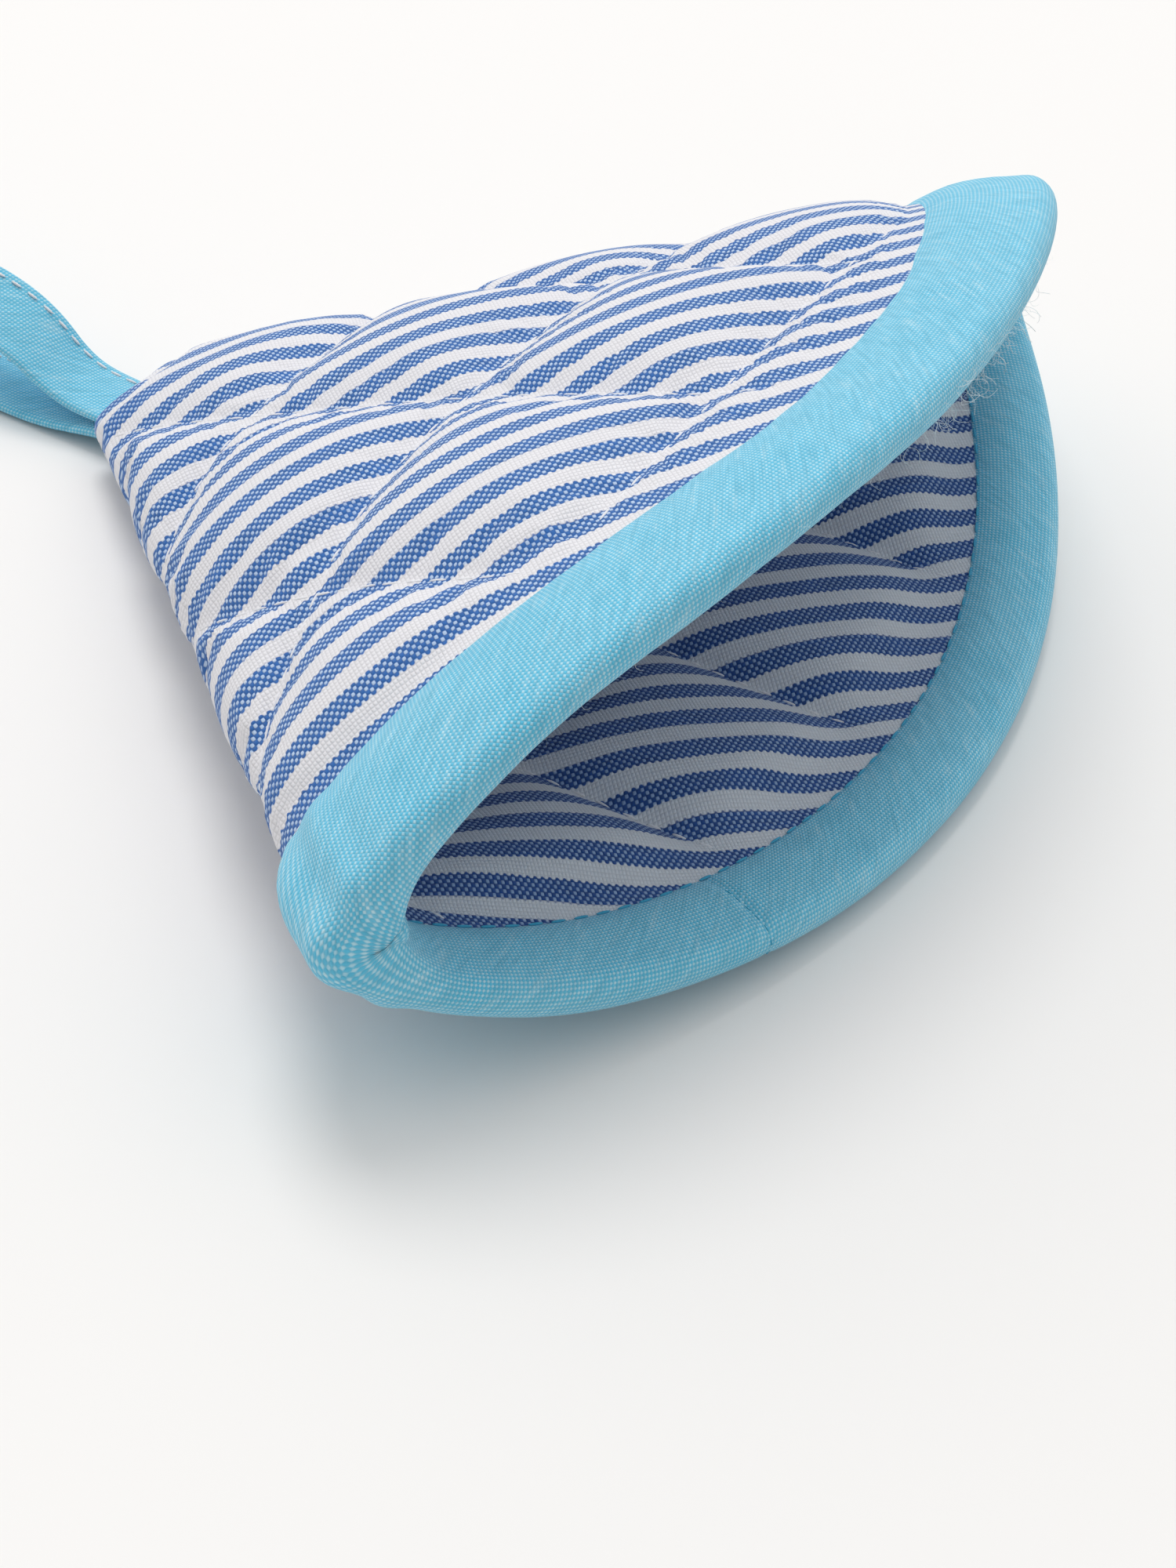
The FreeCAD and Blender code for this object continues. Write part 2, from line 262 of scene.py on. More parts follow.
# --------------------------------------------------------------------------------------- materials
class Signal:
    """A number that a node gives; arithmetic on it adds Math nodes."""

    def __init__(self, paint: "Paint", socket: bpy.types.NodeSocket) -> None:
        """Keep the paint and the socket."""
        self.paint = paint
        self.socket = socket

    def _math(self, operation: str, *values: Any) -> "Signal":
        """Add a Math node on some values."""
        return self.paint.node("ShaderNodeMath", {"operation": operation}, dict(enumerate(values)))

    def __add__(self, other: Any) -> "Signal":
        """Sum."""
        return self._math("ADD", self, other)

    __radd__ = __add__

    def __mul__(self, other: Any) -> "Signal":
        """Product."""
        return self._math("MULTIPLY", self, other)

    __rmul__ = __mul__

    def __sub__(self, other: Any) -> "Signal":
        """Difference."""
        return self._math("SUBTRACT", self, other)

    def __rsub__(self, other: Any) -> "Signal":
        """Reflected difference."""
        return self._math("SUBTRACT", other, self)

    def __truediv__(self, other: Any) -> "Signal":
        """Quotient."""
        return self._math("DIVIDE", self, other)

    def cosine(self) -> "Signal":
        """Cosine, in radians."""
        return self._math("COSINE", self)

    def magnitude(self) -> "Signal":
        """Absolute value."""
        return self._math("ABSOLUTE", self)

    def floor(self) -> "Signal":
        """Whole part."""
        return self._math("FLOOR", self)

    def power(self, exponent: float) -> "Signal":
        """Raise to a power."""
        return self._math("POWER", self, exponent)

    def step(self, low: float, high: float) -> "Signal":
        """Rise smoothly from 0 to 1.

        Args:
            low: Where the result leaves 0.
            high: Where it reaches 1.

        Returns:
            The result.
        """
        settings = {"interpolation_type": "SMOOTHSTEP"}
        values = {"Value": self, "From Min": low, "From Max": high}
        return self.paint.node("ShaderNodeMapRange", settings, values)


class Paint:
    """One material under construction."""

    def __init__(self, name: str) -> None:
        """Start a material with a Principled shader and an output.

        Args:
            name: The material's name.
        """
        self.material = bpy.data.materials.new(name)
        self.material.use_nodes = True
        self.tree = self.material.node_tree
        self.shader = self.tree.nodes["Principled BSDF"]

    def node(self, kind: str, settings: dict[str, Any], values: dict[Any, Any], output: Any = 0) -> Signal:
        """Add any node.

        Args:
            kind: The node's type.
            settings: Its properties, which are set first.
            values: What its sockets take: plain values, or signals to link.
            output: Which output to give back.

        Returns:
            The output as a signal.
        """
        made = self.tree.nodes.new(kind)
        for key, value in settings.items():
            setattr(made, key, value)
        for key, value in values.items():
            if isinstance(value, Signal):
                self.tree.links.new(value.socket, made.inputs[key])
            else:
                made.inputs[key].default_value = value
        return Signal(self, made.outputs[output])

    def mix(self, share: Any, first: Any, second: Any) -> Signal:
        """Mix two colours by a share."""
        values = {"Factor": share, 6: first, 7: second}
        return self.node("ShaderNodeMix", {"data_type": "RGBA"}, values, 2)

    def darken(self, colour: Any, share: Any) -> Signal:
        """Multiply a colour by a grey.

        Args:
            colour: The colour, plain or as a signal.
            share: How bright the grey is.

        Returns:
            The darkened colour.
        """
        grey = self.node("ShaderNodeCombineColor", {}, {0: share, 1: share, 2: share})
        values = {"Factor": 1.0, 6: colour, 7: grey}
        return self.node("ShaderNodeMix", {"data_type": "RGBA", "blend_type": "MULTIPLY"}, values, 2)

    def surface_place(self) -> tuple[Signal, Signal]:
        """The place on the flat cloth.

        Returns:
            The two coordinates, in metres.
        """
        uv = self.node("ShaderNodeTexCoord", {}, {}, "UV")
        return (
            self.node("ShaderNodeSeparateXYZ", {}, {0: uv}, 0),
            self.node("ShaderNodeSeparateXYZ", {}, {0: uv}, 1),
        )

    def noise(self, along: Any, across: Any, scale: float, detail: float = 2.0) -> Signal:
        """Noise over the flat cloth.

        Args:
            along: The first coordinate.
            across: The second.
            scale: Waves in a metre.
            detail: Octaves.

        Returns:
            The noise, about 0 to 1.
        """
        place = self.node("ShaderNodeCombineXYZ", {}, {0: along, 1: across})
        settings = {"noise_dimensions": "2D"}
        return self.node("ShaderNodeTexNoise", settings, {"Vector": place, "Scale": scale, "Detail": detail})

    def finish(self, colour: Signal, height: Signal, depth: float, **constants: Any) -> bpy.types.Material:
        """Link the colour and the relief, and set the shader's constants.

        Args:
            colour: The base colour.
            height: The relief, about 0 to 1.
            depth: How deep a relief of 1 is, in metres.
            constants: Values for the shader's own sockets, with underscores for spaces.

        Returns:
            The material.
        """
        self.tree.links.new(colour.socket, self.shader.inputs["Base Color"])
        bump = self.node("ShaderNodeBump", {}, {"Strength": 1.0, "Distance": depth, "Height": height})
        self.tree.links.new(bump.socket, self.shader.inputs["Normal"])
        for key, value in constants.items():
            self.shader.inputs[key.replace("_", " ")].default_value = value
        return self.material


Colour = tuple[float, float, float, float]


@dataclass(frozen=True)
class StripedCanvas:
    """A plain-weave canvas of blue and white stripes, with white yarns across both."""

    name: str = "striped_canvas"
    end_pitch: float = 0.51 * MM          # from yarn to yarn across the stripes
    pick_pitch: float = 0.43 * MM         # from yarn to yarn along them
    stripe_pitch: float = 5.3 * MM
    blue_width: float = 2.75 * MM
    blue: Colour = (0.024, 0.125, 0.40, 1.0)
    white: Colour = (0.86, 0.85, 0.885, 1.0)
    dot: Colour = (0.50, 0.64, 0.85, 1.0)
    relief: float = 0.09 * MM

    def material(self) -> bpy.types.Material:
        """Build the material.

        Returns:
            The material.
        """
        paint = Paint(self.name)
        x, y = paint.surface_place()
        wander = paint.noise(x, y, 90.0) - 0.5
        y_bent = y + wander * (0.6 * MM)
        crossing = (x * (math.pi / self.pick_pitch)).cosine() * (y_bent * (math.pi / self.end_pitch)).cosine()
        edge = math.cos(math.pi * self.blue_width / self.stripe_pitch)
        wave = (y_bent * (2 * math.pi / self.stripe_pitch)).cosine()
        blue_share = (wave - crossing * 0.22).step(edge - 0.14, edge + 0.14)
        yarn = paint.noise(x * 0.12, y, 1700.0)
        patch = paint.noise(x, y, 170.0)
        over = crossing.step(-0.05, 0.55) * (patch * 0.5 + 0.66)
        blue = paint.darken(self.blue, yarn * 0.6 + 0.75)
        striped = paint.mix(over, blue, self.dot)
        # Painted shade: the white stripes are darkened a little in the gaps between the yarns, where shade
        # falls.
        gap = 1.0 - crossing.magnitude().step(0.0, 0.35)
        plain = paint.darken(self.white, 1.0 - gap * 0.07 - yarn * 0.07)
        colour = paint.mix(blue_share, plain, striped)
        height = crossing.magnitude().power(0.6) + yarn * 0.25
        return paint.finish(colour, height, self.relief, Roughness=0.9, Sheen_Weight=0.12)


@dataclass(frozen=True)
class Chambray:
    """A turquoise cloth whose white cross yarns show as flecks."""

    name: str = "chambray"
    pitch_along: float = 0.37 * MM
    pitch_across: float = 0.31 * MM
    bias: float = 40.0
    warp: Colour = (0.075, 0.53, 0.78, 1.0)
    fleck: Colour = (0.66, 0.88, 0.94, 1.0)
    relief: float = 0.07 * MM

    def material(self) -> bpy.types.Material:
        """Build the material.

        Returns:
            The material.
        """
        paint = Paint(self.name)
        u, v = paint.surface_place()
        turn = math.radians(self.bias)
        x = u * math.cos(turn) + v * math.sin(turn)
        y = v * math.cos(turn) - u * math.sin(turn)
        crossing = (x * (math.pi / self.pitch_along)).cosine() * (y * (math.pi / self.pitch_across)).cosine()
        yarn = paint.noise(x * 0.12, y, 1900.0)
        slub = paint.noise(x * 0.22, y, 800.0)
        patch = paint.noise(x, y, 120.0)
        over = crossing.step(-0.35, 0.9) * (yarn * 0.75 + 0.18) + slub.step(0.58, 0.80) * 0.16 + patch * 0.12
        colour = paint.mix(over, paint.darken(self.warp, yarn * 0.35 + 0.82), self.fleck)
        height = crossing.magnitude().power(0.6) + yarn * 0.3
        return paint.finish(colour, height, self.relief, Roughness=0.85, Sheen_Weight=0.2)


@dataclass(frozen=True)
class Thread:
    """Spun sewing thread."""

    name: str
    colour: Colour
    relief: float = 0.05 * MM

    def material(self) -> bpy.types.Material:
        """Build the material.

        Returns:
            The material.
        """
        paint = Paint(self.name)
        place = paint.node("ShaderNodeTexCoord", {}, {}, "Object")
        settings = {"noise_dimensions": "3D"}
        fibre = paint.node("ShaderNodeTexNoise", settings, {"Vector": place, "Scale": 4000.0})
        colour = paint.darken(self.colour, fibre * 0.3 + 0.8)
        return paint.finish(colour, fibre, self.relief, Roughness=0.8, Sheen_Weight=0.1)


# --------------------------------------------------------------------------------------- the shape
@dataclass(frozen=True)
class Pouch:
    """The shape of the folded half disc, seen from its inner point, with sizes as shares of the radius.

    Round the pouch, a place is a share from 0 at the seamed side, over the upper half to 0.5 at the folded
    side, and back under the lower half to 1.
    """

    apex: Vector
    mouth_radius: float
    half_width: float = 0.9744
    height: float = 0.4098
    side_height: float = 0.1845
    rim_squareness: float = 3.6
    apex_squareness: float = 2.5
    lower_squareness: float = 2.5
    far_slack: float = 0.6
    far_flat: float = -0.6
    dome: float = 0.026
    corner_softness: float = 0.010
    far_softness: float = 0.024
    far_share: float = 0.11
    near_tuck: float = 0.036
    tuck_from: float = 0.5

    def ring(self, reach: float, samples: int) -> np.ndarray:
        """Directions from the inner point to the inner face, all round, at one reach.

        Args:
            reach: The distance from the inner point, as a share of the radius.
            samples: How many steps round the pouch.

        Returns:
            Unit vectors, shaped (samples + 1, 3), the last as the first.
        """
        across = np.sin(np.linspace(1.0, -1.0, 1201) * math.pi / 2)
        squareness = self.rim_squareness + (self.apex_squareness - self.rim_squareness) * (1 - reach)
        rise = self.height - self.side_height + self.dome * 4 * reach * (1 - reach)
        far_side = smooth_step(0.0, 0.6, across)
        upper = self.side_height + rise * (1 - np.abs(across) ** (squareness - far_side * self.far_slack))
        lower = self.side_height * np.abs(across) ** (self.lower_squareness + far_side * self.far_flat)
        halves = []
        for level, side in ((upper, across), (lower[::-1], across[::-1])):
            tuck = np.where(side < 0, self.near_tuck, 0.0) * smooth_step(self.tuck_from, 1.0, np.abs(side))
            line = unit(np.stack([np.ones_like(side), self.half_width * side + tuck, level], -1))
            turns = np.arccos(np.clip((line[1:] * line[:-1]).sum(-1), -1, 1))
            travel = np.concatenate([[0.0], np.cumsum(turns)])
            wanted = np.linspace(0, travel[-1], samples // 2 + 1)[:-1]
            halves.append(np.stack([np.interp(wanted, travel, line[:, k]) for k in range(3)], -1))
        loop = np.concatenate(halves)
        gap = np.abs((np.arange(samples) / samples + 0.5) % 1.0 - 0.5)[:, None]
        far = np.exp(-((gap / self.far_share) ** 2))
        near_loop = self.soften(loop, self.corner_softness)
        loop = near_loop * (1 - far) + self.soften(loop, self.far_softness) * far
        return unit(np.concatenate([loop, loop[:1]]))

    def soften(self, loop: np.ndarray, share: float) -> np.ndarray:
        """Blur a closed ring of points.

        Args:
            loop: The points, the last not repeating the first.
            share: How far to blur, as a share of the ring's length.

        Returns:
            The blurred points.
        """
        step = np.fft.fftfreq(len(loop)) * len(loop)
        blur = np.exp(-2 * (math.pi * share * step) ** 2)
        return np.fft.ifft(np.fft.fft(loop, axis=0) * blur[:, None], axis=0).real

    def inner_face(self, reaches: np.ndarray, samples: int) -> tuple[np.ndarray, np.ndarray]:
        """The inner face of the quilt and its outward normals.

        Args:
            reaches: The distances from the inner point, as shares of the radius.
            samples: How many steps round the pouch.

        Returns:
            Points and normals, each shaped (reaches, samples + 1, 3).
        """
        rings = np.stack([self.ring(reach, samples) for reach in reaches])
        points = rings * (reaches * self.mouth_radius)[:, None, None]
        around = np.roll(points[:, :-1], -1, 1) - np.roll(points[:, :-1], 1, 1)
        around = np.concatenate([around, around[:, :1]], 1)
        outwards = np.gradient(points, reaches, axis=0)
        return points + np.array(self.apex), unit(np.cross(around, outwards))

    def flat(self, reaches: np.ndarray, samples: int) -> np.ndarray:
        """Where each point of the pouch lies on the flat half disc, in metres.

        Args:
            reaches: The distances from the inner point, as shares of the radius.
            samples: How many steps round the pouch.

        Returns:
            Places shaped (reaches, samples + 1, 2).
        """
        turn = np.linspace(0, math.pi, samples + 1)
        circle = np.stack([np.cos(turn), np.sin(turn)], -1)
        return circle[None] * (reaches * self.mouth_radius)[:, None, None]


@dataclass(frozen=True)
class Quilting:
    """The square grid of stitch lines, at 45 degrees to the stripes."""

    pitch_out: float = 31.3 * MM
    offset_out: float = 35.2 * MM
    pitch_across: float = 34.2 * MM
    offset_across: float = -11.0 * MM
    valley: float = 4.5 * MM
    seam_valley: float = 3.0 * MM
    hold: float = 0.9 * MM
    wobble: float = 0.8 * MM
    wobble_length: float = 60 * MM
    lines: int = 6                        # lines of each family to either side of its first
    seam_gap: float = 2.5 * MM            # bare cloth beside the seam and the fold
    first_reach: float = 0.09

    def families(self) -> tuple[tuple[np.ndarray, float, float], ...]:
        """The two families of lines.

        Returns:
            The direction across each family, its pitch and its offset.
        """
        diagonal = math.sqrt(0.5)
        return (
            (np.array([diagonal, diagonal]), self.pitch_out, self.offset_out),
            (np.array([diagonal, -diagonal]), self.pitch_across, self.offset_across),
        )

    def distance(self, flat: np.ndarray, family: int) -> np.ndarray:
        """The distance to the nearest line of one family.

        Args:
            flat: Places on the flat cloth.
            family: The family's number.

        Returns:
            A distance for each place, in metres.
        """
        across, pitch, offset = self.families()[family]
        place = flat @ across - offset + self.wobble * ripple(flat, self.wobble_length, SEED + family)
        return np.abs((place + pitch / 2) % pitch - pitch / 2)

    def puff(self, flat: np.ndarray) -> np.ndarray:
        """How far the quilt is puffed up.

        Args:
            flat: Places on the flat cloth.

        Returns:
            From 0 on a stitch line to 1 in the middle of a cell.
        """
        share = 1 - np.exp(-((np.abs(flat[..., 1]) / self.seam_valley) ** 1.2))
        for family in range(2):
            share = share * (1 - np.exp(-((self.distance(flat, family) / self.valley) ** 1.15)))
        return share

    def held(self, flat: np.ndarray) -> np.ndarray:
        """How firmly the thread holds each place: 1 on a line of stitches, 0 a short way off it."""
        nearest = np.minimum(self.distance(flat, 0), self.distance(flat, 1))
        return 1 - smooth_step(self.hold * 0.6, self.hold * 1.4, nearest)


# --------------------------------------------------------------------------------------- the quilt
@dataclass
class Quilt:
    """The cover, the wadding and the lining, quilted together."""

    pouch: Pouch
    quilting: Quilting
    canvas: bpy.types.Material
    # the lining's canvas: a copy of the cover's canvas with painted shade
    lining_canvas: bpy.types.Material
    samples: int = 400
    rows: int = 96
    first_reach: float = 0.088
    last_reach: float = 0.955
    tape_start: float = 0.844
    inner_tape_start: float = 0.905
    cloth_thickness: float = 0.35 * MM
    stitched_height: float = 1.9 * MM
    puffed_height: float = 3.6 * MM
    edge_height: float = 2.6 * MM
    point_height: float = 2.3 * MM
    lining_stitched: float = 1.1 * MM
    lining_puffed: float = -2.7 * MM
    cap_rows: int = 8
    cap_radius: float = 2.2 * MM
    cap_turn: float = 105.0
    cap_depth: float = 3.0 * MM
    floor_gap: float = 0.15 * MM
    model_scale: float = 20.0
    pressure: float = 3.0
    spare_cloth: float = 0.025
    bending: float = 0.3
    frames: int = 20
    most_move: float = 2.5 * MM
    faces: dict[Face, np.ndarray] = field(default_factory=dict)

    def heights(self, flat: np.ndarray, reaches: np.ndarray, face: Face) -> np.ndarray:
        """How far each face of the quilt stands from the inner face of the pouch.

        Args:
            flat: Places on the flat cloth.
            reaches: The rows' distances from the inner point, as shares of the radius.
            face: Which face.

        Returns:
            Heights along the normal, in metres.
        """
        puff = self.quilting.puff(flat)
        tape_start = self.tape_start if face is Face.OUTSIDE else self.inner_tape_start
        edge = smooth_step(0.0, 0.07, tape_start - reaches)[:, None]
        point = smooth_step(0.04, 0.30, reaches)[:, None]
        if face is Face.OUTSIDE:
            swell = self.stitched_height + (self.puffed_height - self.stitched_height) * puff
            swell = swell * point + self.point_height * (1 - point)
            return self.edge_height + (swell - self.edge_height) * edge
        swell = self.lining_stitched + (self.lining_puffed - self.lining_stitched) * puff
        return swell * edge * point

    def cap(self, outer: np.ndarray, normals: np.ndarray) -> np.ndarray:
        """Rows that round the blunt point and turn in beside the strap, innermost first.

        Args:
            outer: The first two rings of the outer face.
            normals: The normals of the first ring.

        Returns:
            Points shaped (cap_rows + 1, columns, 3).
        """
        outwards = unit(outer[1] - outer[0])
        rows = []
        for turn in np.radians(np.linspace(self.cap_turn, 0, self.cap_rows, endpoint=False)):
            back = outwards * math.sin(turn) + normals * (1 - math.cos(turn))
            rows.append(outer[0] - self.cap_radius * back)
        return np.stack([rows[0] + np.array([self.cap_depth, 0.0, 0.0]), *rows])

    def build_cover(self) -> bpy.types.Object:
        """Make the outer cloth, with its rounded point.

        Returns:
            The cover.
        """
        reaches = np.linspace(self.first_reach, self.last_reach, self.rows + 1)
        points, normals = self.pouch.inner_face(reaches, self.samples)
        flat = self.pouch.flat(reaches, self.samples)
        heights = self.heights(flat, reaches, Face.OUTSIDE)
        outer = self.above_floor(points + normals * heights[..., None])
        cap = self.cap(outer[:2], normals[0])
        back = np.arange(len(cap), 0, -1)[:, None, None] * (0.5 * MM)
        cap_flat = flat[:1] - unit(flat[:1]) * back
        laid, whole_flat = np.concatenate([cap, outer]), np.concatenate([cap_flat, flat])
        cloth = Cloth.lay("cover", laid, whole_flat)
        self.faces[Face.OUTSIDE] = outer
        held = self.quilting.held(whole_flat)
        held[: len(cap) + 2] = 1.0
        held[len(cap):][reaches > self.tape_start] = 1.0
        held[:, [0, 1, -2, -1]] = 1.0
        self.inflate(cloth, held)
        return self.finish_cloth(cloth.piece, self.canvas)

    def inflate(self, cloth: Cloth, held: np.ndarray) -> None:
        """Blow up the cells of the cloth between their stitch lines by cloth simulation.

        Args:
            cloth: The cloth as it is laid.
            held: How firmly each grid point is held, from 0 to 1.
        """
        piece = cloth.piece
        firm = held[cloth.rows, cloth.columns]
        group = piece.vertex_groups.new(name="held")
        for index in np.flatnonzero(firm > 0.02):
            group.add([int(index)], float(firm[index]), "REPLACE")
        start = vertex_points(piece)
        set_points(piece, start * self.model_scale)
        modifier = piece.modifiers.new("Cloth", "CLOTH")
        rules = modifier.settings
        rules.quality = 4
        rules.mass = 0.3
        rules.vertex_group_mass = group.name
        rules.pin_stiffness = 1.0
        rules.use_pressure = True
        rules.uniform_pressure_force = self.pressure
        rules.shrink_min = -self.spare_cloth
        rules.shrink_max = -self.spare_cloth
        rules.tension_stiffness = 15.0
        rules.compression_stiffness = 15.0
        rules.shear_stiffness = 5.0
        rules.bending_stiffness = self.bending
        rules.tension_damping = 5.0
        rules.compression_damping = 5.0
        rules.shear_damping = 5.0
        rules.air_damping = 2.0
        rules.effector_weights.gravity = 0.0
        modifier.collision_settings.use_collision = False
        scene = bpy.context.scene
        for frame in range(1, self.frames + 1):
            scene.frame_set(frame)
        carrier = piece.evaluated_get(bpy.context.evaluated_depsgraph_get())
        blown = np.zeros(start.size)
        carrier.data.vertices.foreach_get("co", blown)
        scene.frame_set(1)
        piece.modifiers.remove(modifier)
        move = blown.reshape(-1, 3) / self.model_scale - start
        size = np.linalg.norm(move, axis=1, keepdims=True)
        LOG.info("%s: simulated moves up to %.2f mm", piece.name, size.max() / MM)
        move *= np.minimum(1.0, self.most_move / (size + 1e-9))
        set_points(piece, self.above_floor(start + move))
        piece.vertex_groups.remove(group)

    def above_floor(self, points: np.ndarray) -> np.ndarray:
        """Lift what would sink below the floor."""
        return np.stack([points[..., 0], points[..., 1], np.maximum(points[..., 2], self.floor_gap)], -1)

    def finish_cloth(self, piece: bpy.types.Object, canvas: bpy.types.Material) -> bpy.types.Object:
        """Close the seam, give the cloth its thickness and its material.

        Args:
            piece: The laid cloth.
            canvas: Its material.

        Returns:
            The finished piece.
        """
        edit_all(piece, bpy.ops.mesh.remove_doubles, threshold=1e-7)
        apply_modifier(piece, "SOLIDIFY", thickness=self.cloth_thickness, offset=-1.0)
        piece.data.materials.clear()
        piece.data.materials.append(canvas)
        return piece

    def build_lining(self) -> bpy.types.Object:
        """Make the inner cloth, which faces into the pocket.

        Returns:
            The lining.
        """
        reaches = np.linspace(self.first_reach, self.last_reach, self.rows * 3 // 4 + 1)
        points, normals = self.pouch.inner_face(reaches, self.samples)
        flat = self.pouch.flat(reaches, self.samples)
        inner = points + normals * self.heights(flat, reaches, Face.INSIDE)[..., None]
        cloth = Cloth.lay("lining", inner, flat)
        self.faces[Face.INSIDE] = inner
        edit_all(cloth.piece, bpy.ops.mesh.flip_normals)
        return self.finish_cloth(cloth.piece, self.lining_canvas)


# ---------------------------------------------------------------------------------------- stitches
@dataclass(frozen=True)
class Surface:
    """A laid face of the mitt, which tells where a place on the flat cloth has gone."""

    grid: np.ndarray
    reaches: np.ndarray
    mouth_radius: float

    def at(self, flat: np.ndarray) -> np.ndarray:
        """Find places of the flat cloth on the face.

        Args:
            flat: Places on the flat cloth, shaped (n, 2).

        Returns:
            The points, shaped (n, 3).
        """
        reach = np.hypot(flat[:, 0], flat[:, 1]) / self.mouth_radius
        turn = np.arctan2(np.maximum(flat[:, 1], 0.0), flat[:, 0]) / math.pi
        row = (reach - self.reaches[0]) / (self.reaches[-1] - self.reaches[0]) * (len(self.reaches) - 1)
        row = np.clip(row, 0, len(self.reaches) - 1.001)
        column = np.clip(turn * (self.grid.shape[1] - 1), 0, self.grid.shape[1] - 1.001)
        i, j = row.astype(int), column.astype(int)
        u, v = (row - i)[:, None], (column - j)[:, None]
        low = self.grid[i, j] * (1 - v) + self.grid[i, j + 1] * v
        high = self.grid[i + 1, j] * (1 - v) + self.grid[i + 1, j + 1] * v
        return low * (1 - u) + high * u

    def frames(self, flat: np.ndarray, along: np.ndarray) -> tuple[np.ndarray, np.ndarray, np.ndarray]:
        """Points, directions and normals.

        Args:
            flat: Places on the flat cloth, shaped (n, 2).
            along: The direction of the stitching on the flat cloth, shaped (n, 2).

        Returns:
            The points, the stitching's directions and the face's normals, each shaped (n, 3).
        """
        step = 0.4 * MM
        sideways = np.stack([-along[:, 1], along[:, 0]], -1)
        forward = unit(self.at(flat + along * step) - self.at(flat - along * step))
        across = self.at(flat + sideways * step) - self.at(flat - sideways * step)
        return self.at(flat), forward, unit(np.cross(forward, across))


@dataclass
class StitchRow:
    """Short stitches of one thread, each a copy of one plump dash."""

    name: str
    thread: bpy.types.Material
    length: float = 2.4 * MM
    gap: float = 0.7 * MM
    radius: float = 0.19 * MM
    sides: int = 6
    rings: int = 5

    @property
    def pitch(self) -> float:
        """From the start of one stitch to the start of the next."""
        return self.length + self.gap

    def dash(self) -> bpy.types.Object:
        """Make one stitch, along X.

        Returns:
            The stitch.
        """
        deselect_all()
        bpy.ops.mesh.primitive_uv_sphere_add(segments=self.rings * 2, ring_count=self.sides, radius=0.5)
        piece = bpy.context.active_object
        edit_all(piece, bpy.ops.transform.resize, value=(self.length, self.radius * 2, self.radius * 2))
        bpy.ops.object.shade_smooth()
        return piece

    def build(self, points: np.ndarray, forward: np.ndarray, normals: np.ndarray) -> bpy.types.Object:
        """Lay a stitch at each place and join them.

        Args:
            points: Where the stitches are, shaped (n, 3).
            forward: Which way each one runs.
            normals: The normals of the cloth under them.

        Returns:
            The joined stitches.
        """
        first = self.dash()
        copies = []
        for place, along, up in zip(points, unit(forward), unit(normals)):
            side = unit(np.cross(up, along))
            turn = Matrix((along, side, np.cross(along, side))).transposed().to_4x4()
            copy = first.copy()
            copy.data = first.data.copy()
            copy.data.transform(Matrix.Translation(Vector(place + up * self.radius * 0.35)) @ turn)
            bpy.context.scene.collection.objects.link(copy)
            copies.append(copy)
        bpy.data.objects.remove(first)
        return join(copies, self.name, self.thread)


def quilting_places(
    quilting: Quilting, surface: Surface, row: StitchRow, limit: float
) -> tuple[np.ndarray, ...]:
    """Where the quilting stitches lie on one face.

    Args:
        quilting: The grid of lines.
        surface: The face.
        row: The stitches.
        limit: The furthest reach, as a share of the radius.

    Returns:
        Points, directions and normals.
    """
    far = surface.mouth_radius
    places, ways = [], []
    for family, (across, pitch, offset) in enumerate(quilting.families()):
        along = np.array([-across[1], across[0]])
        travel = np.arange(-far, far, row.pitch)
        for number in range(-quilting.lines, quilting.lines + 1):
            level = offset + number * pitch
            flat = along * travel[:, None] + across * level
            for _ in range(3):
                shift = quilting.wobble * ripple(flat, quilting.wobble_length, SEED + family)
                flat = along * travel[:, None] + across * (level - shift)[:, None]
            places.append(flat)
            ways.append(np.broadcast_to(along, flat.shape))
    flat, way = np.concatenate(places), np.concatenate(ways)
    reach = np.hypot(flat[:, 0], flat[:, 1]) / far
    kept = (reach > quilting.first_reach) & (reach < limit) & (flat[:, 1] > quilting.seam_gap)
    return surface.frames(flat[kept], way[kept])


